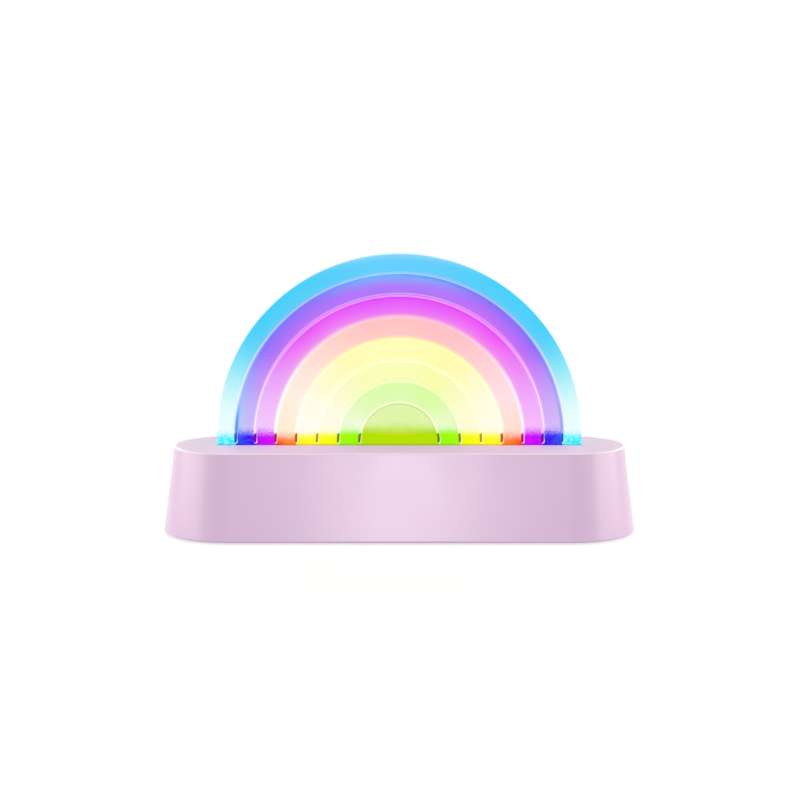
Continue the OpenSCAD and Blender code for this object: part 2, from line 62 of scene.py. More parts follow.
# Camera
def place_camera(place, tilt, focal_length):
    """A camera that looks towards +Y, tilt degrees up from straight down. The focal length is for a 36 mm sensor."""
    data = bpy.data.cameras.new("camera")
    data.lens = focal_length
    data.sensor_width = 36.0
    data.clip_start = 0.01
    camera = bpy.data.objects.new("camera", data)
    camera.location = place
    camera.rotation_euler = (math.radians(tilt), 0, 0)
    bpy.context.scene.collection.objects.link(camera)
    bpy.context.scene.camera = camera


place_camera((0.0003, -0.642, 0.1359), tilt=83.01, focal_length=67.5)


# Material helpers
class Maker:
    """A new material and short calls for its nodes. A call returns the node's result, apart from those that only
    set or link something."""

    def __init__(self, name):
        self.material = bpy.data.materials.new(name)
        self.material.use_nodes = True
        self.tree = self.material.node_tree
        self.shader = self.tree.nodes["Principled BSDF"]
        self.place = self.tree.nodes.new("ShaderNodeTexCoord").outputs["Object"]

    def add(self, kind, **settings):
        """A new node of any kind, returned itself."""
        node = self.tree.nodes.new(kind)
        for key, value in settings.items():
            setattr(node, key, value)
        return node

    def link(self, out, into):
        self.tree.links.new(out, into)

    def noise(self, scale, detail=2.0, roughness=0.5, place=None):
        node = self.add("ShaderNodeTexNoise")
        node.inputs["Scale"].default_value = scale
        node.inputs["Detail"].default_value = detail
        node.inputs["Roughness"].default_value = roughness
        self.link(place or self.place, node.inputs["Vector"])
        return node.outputs["Fac"]

    def remap(self, value, low, high, to_low=0.0, to_high=1.0, smooth=False):
        """The value's way from low to high as a way from to_low to to_high, and no further at either end."""
        node = self.add("ShaderNodeMapRange")
        if smooth:
            node.interpolation_type = "SMOOTHSTEP"
        self.link(value, node.inputs["Value"])
        for socket, number in zip(("From Min", "From Max", "To Min", "To Max"), (low, high, to_low, to_high)):
            node.inputs[socket].default_value = number
        return node.outputs["Result"]

    def math(self, operation, a, b=0.0):
        node = self.add("ShaderNodeMath", operation=operation)
        for socket, value in zip(node.inputs, (a, b)):
            if isinstance(value, (int, float)):
                socket.default_value = value
            else:
                self.link(value, socket)
        return node.outputs[0]

    def mix(self, factor, a, b, blend="MIX"):
        """Colour a where factor is 0, and where it is 1 colour b or the blend of both."""
        node = self.add("ShaderNodeMix", data_type="RGBA", blend_type=blend)
        for socket, value in zip((node.inputs[0], node.inputs[6], node.inputs[7]), (factor, a, b)):
            if isinstance(value, (int, float, tuple)):
                socket.default_value = value
            else:
                self.link(value, socket)
        return node.outputs[2]

    def attribute(self, name, output):
        return self.add("ShaderNodeAttribute", attribute_name=name).outputs[output]

    def axis(self, name):
        """One coordinate of the surface, in the piece's own metres."""
        node = self.add("ShaderNodeSeparateXYZ")
        self.link(self.place, node.inputs[0])
        return node.outputs[name]

    def bump(self, height, strength, distance):
        node = self.add("ShaderNodeBump")
        node.inputs["Strength"].default_value = strength
        node.inputs["Distance"].default_value = distance
        self.link(height, node.inputs["Height"])
        self.link(node.outputs["Normal"], self.shader.inputs["Normal"])

    def set(self, **values):
        """Sets sockets of the shader, with _ in place of a blank in their names."""
        for key, value in values.items():
            self.shader.inputs[key.replace("_", " ")].default_value = value


def matt_top_with_painted_light(m, top, tone, gloss):
    """The top of a moulding whose mould was eroded more coarsely there. Above the height top, in metres, it is duller
    than the sides, and it has a painted tint, mauve in the middle and yellow at the ends, that offsets the coloured
    light the glowing panel throws on it. The rounded edge below has a painted highlight, a paler band. Returns the
    new colour and roughness."""
    height = m.axis("Z")

    def on_top(side, above):
        return m.remap(height, top - 0.1 * MM, top, side, above)

    m.link(on_top(0.5, 0.1), m.shader.inputs["Specular IOR Level"])
    m.link(on_top(0.3, 0.34), m.shader.inputs["Sheen Weight"])
    # painted highlight: the rounded front edge just below the top is paler, as if it caught the light
    painted_edge_highlight = m.math("MULTIPLY", m.remap(height, top - 0.75 * MM, top - 0.6 * MM, smooth=True),
                    m.remap(height, top - 0.12 * MM, top - 0.02 * MM, 0.85, 0.0, smooth=True))
    tone = m.mix(painted_edge_highlight, tone, colour((255, 236, 252)))
    # painted tint on the top: mauve in the middle and yellow at the ends, offsetting the glowing panel's coloured
    # light that falls on it
    from_middle = m.math("ABSOLUTE", m.axis("X"))
    tint = m.mix(m.remap(from_middle, 24 * MM, 62 * MM, smooth=True), (0.92, 0.84, 1.06, 1.0), (1.03, 1.08, 1.0, 1.0))
    tone = m.mix(on_top(0.0, 1.0), tone, m.mix(1.0, tone, tint, "MULTIPLY"))
    return tone, m.math("ADD", gloss, on_top(0.0, 0.35))


def moulded_plastic(name, rgb, roughness, grain=900.0, depth=0.03, mottling=0.03, matt_top=None):
    """Moulded plastic: a fine spark-eroded grain of the given depth, and colour and gloss that vary a little over the
    surface. Above the height matt_top, if there is one, it is matt with a painted tint, and the edge below it has a
    painted highlight. Depth and height are in millimetres."""
    m = Maker(name)
    m.set(IOR=1.49, Specular_IOR_Level=0.5, Sheen_Weight=0.12, Sheen_Roughness=0.4)
    light = colour(np.minimum(np.asarray(rgb) * (1 + mottling / 2), 255))
    dark = colour(np.asarray(rgb) * (1 - mottling / 2))
    tone = m.mix(m.remap(m.noise(28.0, 3.0), 0.2, 0.8, smooth=True), dark, light)
    gloss = m.remap(m.noise(70.0, 1.0), 0.2, 0.8, roughness - 0.01, roughness + 0.02)
    if matt_top:
        tone, gloss = matt_top_with_painted_light(m, matt_top * MM, tone, gloss)
    m.link(tone, m.shader.inputs["Base Color"])
    m.link(gloss, m.shader.inputs["Roughness"])
    m.bump(m.noise(grain, 2.0, 0.6), 0.35, depth * MM)
    return m.material


def soft_rubber(name, rgb, grain=600.0):
    """Rubber or foam: dull, with a coarse pitted grain."""
    m = Maker(name)
    m.set(IOR=1.5, Specular_IOR_Level=0.25)
    pits = m.noise(grain, 4.0, 0.7)
    m.link(m.mix(pits, colour(np.asarray(rgb) * 0.8), colour(np.asarray(rgb) * 1.2)), m.shader.inputs["Base Color"])
    m.link(m.remap(pits, 0.3, 0.7, 0.7, 0.9), m.shader.inputs["Roughness"])
    m.bump(pits, 0.5, 0.08 * MM)
    return m.material


def metal(name, rgb, roughness, streak):
    """Plated or brushed metal: noise that is drawn out along X where streak is under 1 gives the streaks."""
    m = Maker(name)
    m.set(Metallic=1.0)
    stretch = m.add("ShaderNodeMapping")
    stretch.inputs["Scale"].default_value = (1.0, streak, streak)
    m.link(m.place, stretch.inputs["Vector"])
    lines = m.noise(500.0, place=stretch.outputs["Vector"])
    m.link(m.mix(lines, colour(np.asarray(rgb) * 0.9), colour(rgb)), m.shader.inputs["Base Color"])
    m.link(m.remap(lines, 0.3, 0.7, roughness - 0.06, roughness + 0.1), m.shader.inputs["Roughness"])
    m.bump(lines, 0.2, 0.02 * MM)
    return m.material


def circuit_laminate(name):
    """Green solder mask over a faint weave of glass cloth."""
    m = Maker(name)
    m.set(IOR=1.5)
    weave = m.add("ShaderNodeTexWave", bands_direction="DIAGONAL")
    weave.inputs["Scale"].default_value = 900.0
    weave.inputs["Distortion"].default_value = 0.6
    m.link(m.place, weave.inputs["Vector"])
    m.link(m.mix(weave.outputs["Fac"], colour((18, 82, 48)), colour((26, 98, 58))), m.shader.inputs["Base Color"])
    m.link(m.remap(m.noise(300.0), 0.3, 0.7, 0.25, 0.4), m.shader.inputs["Roughness"])
    m.bump(weave.outputs["Fac"], 0.1, 0.02 * MM)
    return m.material


def lit_lens(name):
    """Warm lens of an LED, a little brighter in grains of its filling."""
    m = Maker(name)
    grain = m.noise(1500.0, 3.0)
    m.link(m.mix(grain, colour((250, 238, 180)), colour((255, 248, 214))), m.shader.inputs["Base Color"])
    m.link(m.mix(grain, colour((240, 225, 160)), colour((255, 246, 205))), m.shader.inputs["Emission Color"])
    m.set(Emission_Strength=0.5, Roughness=0.3)
    return m.material


SHELL = (230, 198, 238)
FINISHES = {
    "shell_plastic": moulded_plastic("satin lilac plastic", SHELL, 0.25, 1500.0, 0.004, 0.012, BASE_TOP),
    "button_plastic": moulded_plastic("polished lilac plastic", SHELL, 0.3, 1200.0, 0.02),
    "foot_rubber": soft_rubber("grey foot rubber", (62, 60, 64)),
    "white_plastic": moulded_plastic("white plastic", (232, 232, 229), 0.4),
    "black_plastic": moulded_plastic("black plastic", (34, 34, 36), 0.38, mottling=0.08),
    "circuit_board": circuit_laminate("green circuit laminate"),
    "led_lens": lit_lens("lit lens"),
    "screw_steel": metal("screw steel", (196, 197, 200), 0.32, 1.0),
    "bright_steel": metal("bright steel", (214, 215, 218), 0.22, 0.15),
    "battery_foil": metal("battery foil", (188, 191, 197), 0.4, 0.3),
    "foam": soft_rubber("grey foam", (66, 66, 68), 350.0),
    "lead_insulation": moulded_plastic("red lead insulation", (172, 34, 28), 0.45),
}


# Light panel: lengths in millimetres, heights above the base's top
THICK = 6.0
FOOT = -9.6
LUG_TOP = -5.6
LUG_OUT = 4.0
GROOVES = 7
# Radius and centre height of the core's groove and of the rim
CORE_R = 17.1
ARCH_R = 78.5
CORE_RISE = 1.5
ARCH_RISE = 3.7
CROWDING = 2.65
# A groove's floor is twice GROOVE_HALF wide, between bevels as wide as they are deep.
GROOVE_HALF = 0.34
GROOVE_BEVEL = 0.4
GROOVE_DEPTH = 2.2
GROOVE_EDGE = GROOVE_HALF + GROOVE_BEVEL
RIM_BEVEL = 0.35
# Widths of the strips along a groove's inner and outer side
INNER_LINE_WIDTH = 0.4
OUTER_LINE_WIDTH = 0.6

# Kinds of strip across the panel
BAND, INNER_BEVEL, GROOVE_FLOOR, OUTER_BEVEL, RIM, INNER_LINE, OUTER_LINE = range(7)
# What the panel has at a height of its legs: the bands alone, the lugs too, or the grooves too
PLAIN, LUGGED, GROOVED = range(3)


def arc_radius(k):
    """Radius of groove k; the rim is k = GROOVES. With s = k / GROOVES it is CORE_R + (ARCH_R - CORE_R) s +
    CROWDING (s - s^3), so the bands are narrower towards the rim."""
    share = np.asarray(k) / GROOVES
    return CORE_R + (ARCH_R - CORE_R) * share + CROWDING * (share - share**3)


def arc_rise(k):
    """Height of the centre of groove k: CORE_RISE + (ARCH_RISE - CORE_RISE) (k / GROOVES)^3."""
    return CORE_RISE + (ARCH_RISE - CORE_RISE) * (np.asarray(k) / GROOVES) ** 3


def make_band(foot, middle, haze, haze_gone, turned, glow, speckle, crown=None, outer_haze=None, fade=1.0,
              bends=(1, 1)):
    """The light of one band. foot, middle and crown are pairs of colours, for the band's inner and outer edge: over
    its LED, half-way up, and at the top. haze is the white that lies over it a little above the foot. It is gone at
    the angle haze_gone, after a fade as steep as fade, and the foot's colour has turned to the middle's at the angle
    turned. The glow starts at the first height of glow and is full at the second. speckle is the share of pale
    grains in the foot, and bends says how far out in the band the colours of middle and crown change."""
    colours = {"foot": foot, "middle": middle, "crown": crown or middle, "haze": (haze, outer_haze or haze)}
    return {**{name: linear(pair) for name, pair in colours.items()}, "haze_gone": haze_gone, "fade": fade,
            "turned": turned, "glow_starts": glow[0], "glow_full": glow[1], "speckle": speckle,
            "middle_bend": bends[0], "crown_bend": bends[1]}


# From the core outwards
BANDS = [
    make_band(foot=((184, 226, 0), (176, 226, 2)), middle=((223, 247, 166), (222, 248, 172)),
              haze=(70, 70, 70), haze_gone=60, turned=25, glow=(4.8, 10.4), speckle=0),
    make_band(foot=((152, 253, 6), (168, 251, 8)), middle=((221, 253, 185), (219, 253, 170)),
              haze=(206, 206, 206), haze_gone=60, turned=25, glow=(4.2, 8.2), speckle=0.001),
    make_band(foot=((238, 252, 12), (250, 252, 24)), middle=((248, 254, 186), (245, 252, 184)),
              haze=(228, 228, 228), haze_gone=65, turned=25, glow=(3.2, 7.6), speckle=0.004),
    make_band(foot=((254, 252, 30), (252, 244, 42)), middle=((254, 252, 180), (252, 249, 183)),
              haze=(241, 241, 241), haze_gone=65, turned=25, glow=(2.4, 7.2), speckle=0.004),
    make_band(foot=((252, 136, 14), (250, 52, 24)), middle=((253, 206, 196), (253, 195, 195)),
              crown=((253, 199, 195), (253, 188, 194)),
              haze=(234, 236, 210), haze_gone=80, turned=25, glow=(0.6, 7.0), speckle=0.006),
    make_band(foot=((208, 4, 250), (186, 4, 250)), middle=((242, 170, 240), (231, 88, 251)),
              crown=((240, 146, 238), (223, 66, 253)), bends=(0.45, 0.4),
              haze=(217, 200, 231), haze_gone=51, turned=45, glow=(3.3, 8.5), speckle=0.015),
    make_band(foot=((52, 4, 242), (34, 84, 236)), middle=((194, 115, 253), (138, 116, 251)),
              crown=((172, 106, 252), (108, 172, 252)), bends=(1, 2.6), outer_haze=(172, 200, 230),
              haze=(199, 188, 219), haze_gone=37, turned=30, glow=(3.3, 8.0), speckle=0.07),
    make_band(foot=((30, 240, 250), (24, 236, 246)), middle=((94, 206, 254), (66, 210, 254)),
              crown=((86, 202, 254), (140, 216, 254)), bends=(1, 7), fade=1.6,
              haze=(231, 245, 250), haze_gone=42, turned=38, glow=(2.0, 6.6), speckle=0.45),
]
# On the right half the feet's colours reach higher by RIGHT_RISE, and each band's light is tinted so below its crown.
# There the outer edges' haze differs from the inner edges' by RIGHT_HAZE of what it does on the left.
RIGHT_RISE = 0.3
RIGHT_TINTS = [(1, 1, 1), (0.96, 1, 0.85), (0.99, 1, 0.87), (1, 1, 0.92), (0.99, 0.86, 1), (1.03, 0.85, 0.99),
               (1.14, 0.92, 1), (1, 1, 1)]
RIGHT_HAZE = 0.3
# Angles in degrees: up to LEG_END all is as on the legs, and the others are pairs between which one look passes to
# another, the middle's colours to the crown's, the right half's tint to none, and the grooves' light on the legs to
# that at the crown.
LEG_END = 4
CROWN_ANGLES = (55, 82)
TINT_ANGLES = (55, 88)
GROOVE_ANGLES = (15, 50)

# The five strips along each groove: the kind, how much of its light is the outer band's, and how far it dulls where
# the groove isn't lit. The line along the inner side has the light of the band it lies in.
GROOVE_STRIPS = [(INNER_LINE, None, 0.35), (INNER_BEVEL, 0.0, 0.7), (GROOVE_FLOOR, 0.2, 1.0), (OUTER_BEVEL, 0.5, 0.3),
                 (OUTER_LINE, 0.7, 0.0)]
# How much whiter those strips are than their bands, or below zero how much darker: first on the legs and then at the
# crown, from the core's groove outwards.
GROOVE_LIGHT = [
    ((0, -0.05, 0.60, 0.30, 0), (-0.20, -0.15, 0.45, 0.15, 0)),
    ((-0.10, -0.05, 0.35, 0.20, 0), (0, 0.05, 0.45, 0.10, 0)),
    ((0, 0.05, 0.15, 0, 0), (0, 0.30, 0.38, 0, 0)),
    ((0, 0, 0.08, 0, 0), (0, 0, 0.03, -0.03, 0)),
    ((0, 0, 0.40, 0.75, 0.25), (0, 0.05, 0.24, 0.20, 0)),
    ((0, 0, 0.15, 0.85, 0.15), (-0.10, 0, 0.32, 0.12, 0.22)),
    ((0, -0.05, 0.10, 0.30, 0.65), (0, 0, 0.05, 0.45, 0.12)),
]
# A band's edge is read this share of the band inside it, and the bands beside a groove a little further in.
AT_EDGE = 1e-4
BESIDE_GROOVE = 1e-3
# The outermost groove where it isn't lit, and the heights between which its light comes up
UNLIT_LEFT = (84, 158, 232)
UNLIT_RIGHT = (104, 120, 205)
UNLIT_HEIGHTS = (8, 22)
# How much whiter the rim is than its band
RIM_SHINE = 0.3

# The colour of each groove's end, where the light of its two bands doesn't reach, from the core's outwards. It gives
# way to the groove's light between the heights END_HEIGHTS.
GROOVE_ENDS = [(130, 155, 0), (142, 165, 4), (202, 175, 20), (198, 103, 28), (180, 40, 85), (140, 6, 165),
               (45, 105, 195)]
END_HEIGHTS = (4.6, 5.2)


def cross_section():
    """Columns across one face, from the middle line out to the rim: each is a radius, a rise of its arc's centre, an
    offset from its groove's middle line, whether it is on a groove, a depth under the face, a band coordinate that is
    k + 1 on groove k, and the kind of the strip after it."""
    columns = []
    core = float(arc_radius(0)) - GROOVE_EDGE
    for share in (0.0, 0.2, 0.4, 0.6, 0.8, 0.92):
        columns.append((core * share, arc_rise(0), 0, False, 0, share, BAND))
    share = 1 - INNER_LINE_WIDTH / core
    columns.append((core * share, arc_rise(0), 0, False, 0, share, INNER_LINE))
    profile = ((-GROOVE_EDGE, 0, INNER_BEVEL), (-GROOVE_HALF, GROOVE_BEVEL, GROOVE_FLOOR),
               (-GROOVE_HALF, GROOVE_DEPTH, GROOVE_FLOOR), (0, GROOVE_DEPTH, GROOVE_FLOOR),
               (GROOVE_HALF, GROOVE_DEPTH, GROOVE_FLOOR), (GROOVE_HALF, GROOVE_BEVEL, OUTER_BEVEL),
               (GROOVE_EDGE, 0, OUTER_LINE))
    for k in range(GROOVES):
        outermost = k + 1 == GROOVES
        radius, rise = float(arc_radius(k)), float(arc_rise(k))
        columns += [(radius, rise, offset, True, depth, k + 1, kind) for offset, depth, kind in profile]
        inner = radius + GROOVE_EDGE
        outer = float(arc_radius(k + 1)) - (RIM_BEVEL if outermost else GROOVE_EDGE)
        last = 1 - INNER_LINE_WIDTH / (outer - inner)
        for share in (OUTER_LINE_WIDTH / (outer - inner), 0.25, 0.4, 0.55, 0.7, 0.82, 0.9, last):
            columns.append((inner * (1 - share) + outer * share,
                            rise * (1 - share) + float(arc_rise(k + 1)) * share, 0, False, 0, k + 1 + share,
                            INNER_LINE if share == last and not outermost else BAND))
    columns.append((ARCH_R - RIM_BEVEL, ARCH_RISE, 0, False, 0, GROOVES + 1, RIM))
    columns.append((ARCH_R, ARCH_RISE, 0, False, RIM_BEVEL, GROOVES + 1, RIM))
    return np.array(columns, float).T


def panel_grid():
    """The light panel's front half as a grid of points, in rows up the left half of the arch. In each row stands
    every column of the cross-section, with its radius r, offset o and rise c. Up the legs it stands at x = r + o,
    z = height, and from c on at x = (r + o) cos(angle), z = c + (r + o) sin(angle).
    A groove ends below in a half circle of its own half width round the height CORE_RISE: there o becomes
    sign(o) sqrt(o^2 - b^2), b being how far the row is below that height, and the depth becomes that of a cone,
    GROOVE_EDGE - sqrt(o^2 + b^2)."""
    radius, rise, offset, groove, depth, band, kind = cross_section()
    on_groove = groove == 1
    floor_end = CORE_RISE - GROOVE_HALF
    legs = [(FOOT, LUGGED), (LUG_TOP, LUGGED), (LUG_TOP, PLAIN), (-0.4, PLAIN), (0.0, PLAIN), (0.3, PLAIN),
            (0.5, PLAIN), (0.65, PLAIN), (0.72, PLAIN), (0.8, PLAIN), (0.92, PLAIN), (1.05, PLAIN),
            (floor_end, PLAIN), (floor_end, GROOVED), (1.18, GROOVED), (1.24, GROOVED), (1.32, GROOVED),
            (1.42, GROOVED), (CORE_RISE, GROOVED)]
    height, state = np.array(legs).T[..., None]
    below = CORE_RISE - height
    shrunk = np.where(on_groove, np.sign(offset) * np.sqrt(np.maximum(offset**2 - below**2, 0.0)), 0.0)
    cone = np.clip(GROOVE_EDGE - np.sqrt(shrunk**2 + below**2), 0.0, GROOVE_BEVEL)
    ended = on_groove & ~((state == GROOVED) & (depth > GROOVE_BEVEL))
    lug = np.where((state == LUGGED) & (band > GROOVES), LUG_OUT, 0.0)
    on_legs = radius + shrunk + lug, height, np.where(ended, cone, depth), 0.0

    thirds = np.array([[1 / 3], [2 / 3], [1.0]])
    to_centre = radius + offset, CORE_RISE + (rise - CORE_RISE) * thirds, depth, 0.0

    angle = np.radians(np.concatenate([np.arange(0.5, 12, 0.75), np.arange(12, 90, 1.5), [90]]))[:, None]
    on_arch = (radius + offset) * np.cos(angle), rise + (radius + offset) * np.sin(angle), depth, angle

    parts = [np.broadcast_arrays(*part) for part in (on_legs, to_centre, on_arch)]
    x, z, depth, angle = (np.concatenate(values) for values in zip(*parts))
    return x, z, depth, angle, band, kind


def panel_surface():
    """The light panel's whole surface from its front left quarter: x = -/+ the grid's x, and with its depth
    y = -/+ (THICK / 2 - depth). Returns the points in metres, the faces, and for each corner of each face its band
    coordinate, its angle up the arch, its height, whether it is on the right, and its face's kind of strip."""
    x, z, depth, angle, band, kind = panel_grid()
    # the row at the crown isn't repeated
    x = np.concatenate([-x, x[-2::-1]])
    z, depth, angle = (np.concatenate([values, values[-2::-1]]) for values in (z, depth, angle))
    rows, columns = x.shape
    front = np.stack([x, depth - THICK / 2, z + BASE_TOP], axis=-1)
    back = np.stack([x, THICK / 2 - depth, z + BASE_TOP], axis=-1)
    points = np.concatenate([front, back[:, ::-1]], axis=1).reshape(-1, 3) * MM

    width = 2 * columns
    first = np.arange(rows - 1)[:, None] * width + np.arange(width - 1)
    around = np.stack([first, first + width, first + width + 1, first + 1], axis=-1).reshape(-1, 4)
    j = np.arange(columns - 1)
    left_foot = np.stack([j, j + 1, width - 2 - j, width - 1 - j], axis=-1)
    right_foot = np.stack([j, width - 1 - j, width - 2 - j, j + 1], axis=-1) + (rows - 1) * width
    faces = np.concatenate([around, left_foot, right_foot])

    strips = np.concatenate([kind[:-1], [RIM], kind[:-1][::-1]])
    strip_of_face = np.concatenate([np.tile(strips, rows - 1), np.full(2 * len(j), BAND)])
    corner = faces.reshape(-1)
    band = np.tile(np.concatenate([band, band[::-1]]), rows)[corner]
    angle = np.concatenate([angle, angle[:, ::-1]], axis=1).reshape(-1)[corner]
    height = points[corner, 2] / MM - BASE_TOP
    right = points[corner, 0] > 0
    return points, faces, (band, angle, height, right, np.repeat(strip_of_face, 4))


def smooth(value, low, high):
    """0 up to low, 1 from high on, and t^2 (3 - 2 t) on the way."""
    t = np.clip((value - low) / (high - low), 0.0, 1.0)
    return t * t * (3 - 2 * t)


def band_light(band, angle, height, right):
    """The light at points of the panel: the colour over the LEDs, the colour further up, how much of the second shows,
    and how grainy the first is. The colour further up starts as the foot's with the band's haze of white in it, turns
    to the middle's as the angle grows, and over the last part to the crown's."""
    index = np.clip(band.astype(int), 0, len(BANDS) - 1)
    across = np.clip(band - index, 0.0, 1.0)[:, None]
    degrees = np.degrees(angle)
    right = right & (band >= 1)

    def look(name):
        return np.array([row[name] for row in BANDS])[index]

    def blend(name, share):
        inner, outer = look(name).transpose(1, 0, 2)
        return inner * (1 - share) + outer * share

    foot = blend("foot", across**2)
    middle = blend("middle", across ** look("middle_bend")[:, None])
    crown = blend("crown", across ** look("crown_bend")[:, None])
    haze = blend("haze", across**3 * np.where(right, RIGHT_HAZE, 1.0)[:, None])
    high = smooth(degrees, *CROWN_ANGLES)[:, None]
    turned = smooth(degrees, LEG_END, look("turned"))[:, None]
    white = haze * ((1 - smooth(degrees, LEG_END, look("haze_gone"))) ** look("fade"))[:, None]
    glow = (foot * (1 - turned) + (middle * (1 - high) + crown * high) * turned) * (1 - white) + white
    tinted = right * (1 - smooth(degrees, *TINT_ANGLES))
    glow = glow * (1 - (1 - np.array(RIGHT_TINTS)[index]) * tinted[:, None])
    shows = smooth(height - RIGHT_RISE * right, look("glow_starts"), look("glow_full"))
    return foot, glow, shows, look("speckle")


def shade(light, share):
    """The light with share of white in it, or below zero with so much black."""
    return light * (1 - np.abs(share)) + np.maximum(share, 0.0)


def panel_light(band, angle, height, right, kind):
    """What band_light gives, at the corners of the panel's faces, with the strips along each groove, its ends and the
    rim."""
    # a face takes the band of its middle, so that a groove's two edges keep apart; the groove goes with its inner band
    middle = np.repeat(band.reshape(-1, 4).mean(1), 4)
    start = np.ceil(middle) - 1
    inside = np.clip(band, start + AT_EDGE, start + 1 - AT_EDGE)
    foot, glow, shows, speckle = band_light(inside, angle, height, right)
    groove = np.clip(np.floor(middle + 0.5).astype(int) - 1, 0, GROOVES - 1)
    inner_foot, inner_glow, _, _ = band_light(groove + 1 - BESIDE_GROOVE, angle, height, right)
    outer_foot, outer_glow, _, _ = band_light(groove + 1 + BESIDE_GROOVE, angle, height, right)

    # the outermost groove is lit less at its foot: on the left hardly at all, on the right with its bright edges kept
    # and dulled by 0.55, or by 0.3 further up
    outermost = groove == GROOVES - 1
    climbed = smooth(height, *UNLIT_HEIGHTS)
    shine_share = np.where(outermost & ~right, climbed, 1.0)[:, None]
    dull = np.where(outermost, np.where(right, 0.55 - 0.25 * climbed, 1 - climbed), 0.0)[:, None]
    unlit = np.where(right[:, None], linear(UNLIT_RIGHT), linear(UNLIT_LEFT))
    legs, crown = np.array(GROOVE_LIGHT)[groove].transpose(1, 2, 0)[..., None]
    steep = smooth(np.degrees(angle), *GROOVE_ANGLES)[:, None]
    for (strip, outer_share, dulled), on_leg, at_crown in zip(GROOVE_STRIPS, legs, crown):
        light = glow if outer_share is None else inner_glow * (1 - outer_share) + outer_glow * outer_share
        light = light * (1 - dulled * dull) + unlit * dulled * dull
        light = shade(light, (on_leg * (1 - steep) + at_crown * steep) * shine_share)
        glow = np.where((kind == strip)[:, None], light, glow)
    glow = np.where((kind == RIM)[:, None], shade(glow, RIM_SHINE), glow)

    # a groove's end shows dark on its left and bright on its right, and bright all round its lowest point
    bright = kind == np.where(right, OUTER_BEVEL, INNER_BEVEL)
    dark = kind == np.where(right, INNER_BEVEL, OUTER_BEVEL)
    on_floor = kind == GROOVE_FLOOR
    lowest = dark & (height < 1.0)
    end_light = linear(GROOVE_ENDS)[groove]
    beside = np.where((kind == INNER_BEVEL)[:, None], inner_foot, outer_foot)
    shine = (0.8 - 0.5 * smooth(height, 1.4, 3.0))[:, None]
    foot = np.where(on_floor[:, None], end_light * 0.8, foot)
    foot = np.where(dark[:, None], end_light, foot)
    foot = np.where((bright | lowest)[:, None], shade(beside, shine), foot)
    shows = np.where(on_floor | dark, smooth(height, *END_HEIGHTS), shows)
    speckle = np.where(on_floor | dark | bright, 0.0, speckle)
    return foot, glow, shows, speckle


def store(mesh, name, values):
    """Keeps a number or a colour for each corner of the mesh's faces."""
    if values.ndim == 2:
        opaque = np.concatenate([values, np.ones((len(values), 1))], axis=1)
        layer = mesh.attributes.new(name, "FLOAT_COLOR", "CORNER")
        layer.data.foreach_set("color", opaque.astype(np.float32).ravel())
    else:
        layer = mesh.attributes.new(name, "FLOAT", "CORNER")
        layer.data.foreach_set("value", values.astype(np.float32))


def close_up(mesh):
    """Merges points that lie together and drops the faces that this leaves without area."""
    work = bmesh.new()
    work.from_mesh(mesh)
    bmesh.ops.remove_doubles(work, verts=work.verts, dist=0.002 * MM)
    bmesh.ops.dissolve_degenerate(work, edges=work.edges, dist=0.0005 * MM)
    for face in work.faces:
        face.smooth = True
    work.to_mesh(mesh)
    work.free()


def lit_acrylic():
    """Acrylic lit from its lower edge: it shows the band's light, part as its own glow and part as its colour."""
    m = Maker("lit acrylic")
    foot, glow = m.attribute("foot_light", "Color"), m.attribute("glow_light", "Color")
    share, speckle = m.attribute("glow_share", "Fac"), m.attribute("speckle", "Fac")
    # the foot's light ends in a rough edge, and above it in single grains
    grain = m.noise(1500.0, 1.0)
    between = m.math("MULTIPLY", share, m.math("SUBTRACT", 1.0, share))
    spread = m.math("MULTIPLY", between, m.remap(speckle, 0.0, 0.015, 1.0, 5.0))
    rough_edge = m.math("MULTIPLY", m.math("SUBTRACT", grain, 0.5), spread)
    shown = m.remap(m.math("ADD", share, rough_edge), 0.0, 1.0)
    grains = m.math("MULTIPLY", m.remap(grain, 0.49, 0.62), speckle)
    light = m.mix(m.math("MAXIMUM", shown, grains), foot, glow)
    # painted shade: it is darker where the panel enters its slot, just above the base's top
    painted_gap_shade = m.remap(m.axis("Z"), (BASE_TOP + 0.05) * MM, (BASE_TOP + 0.5) * MM, 0.5, 1.0, smooth=True)
    dimmed = m.mix(1.0, light, painted_gap_shade, "MULTIPLY")
    # two thirds of that light are its colour, and half of it glows
    m.link(m.mix(1.0, dimmed, (0.66, 0.66, 0.66, 1.0), "MULTIPLY"), m.shader.inputs["Base Color"])
    m.link(dimmed, m.shader.inputs["Emission Color"])
    m.set(Emission_Strength=0.5, IOR=1.49, Specular_IOR_Level=0.03)
    m.link(m.remap(m.noise(220.0, 3.0), 0.3, 0.7, 0.08, 0.16), m.shader.inputs["Roughness"])
    return m.material


def light_panel_piece():
    """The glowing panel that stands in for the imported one, with bevelled grooves and rim."""
    points, faces, corners = panel_surface()
    mesh = bpy.data.meshes.new("light panel")
    mesh.from_pydata(points, [], faces.tolist())
    for name, values in zip(("foot_light", "glow_light", "glow_share", "speckle"), panel_light(*corners)):
        store(mesh, name, values)
    close_up(mesh)
    mesh.set_sharp_from_angle(angle=math.radians(25))
    mesh.materials.append(lit_acrylic())
    piece = bpy.data.objects.new("glowing_panel", mesh)
    bpy.context.scene.collection.objects.link(piece)
    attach(piece, "lamp")
    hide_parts("light_panel")


light_panel_piece()

# Every imported node gets the finish of its slot, or white plastic; the imported light panel too, though it is hidden
# and the glowing one replaces it.
slot_of = {row["node"]: row["material_slot"] for row in frame["record"]["subparts"]}
for name, node in nodes.items():
    node.data.materials.clear()
    node.data.materials.append(FINISHES.get(slot_of[name], FINISHES["white_plastic"]))


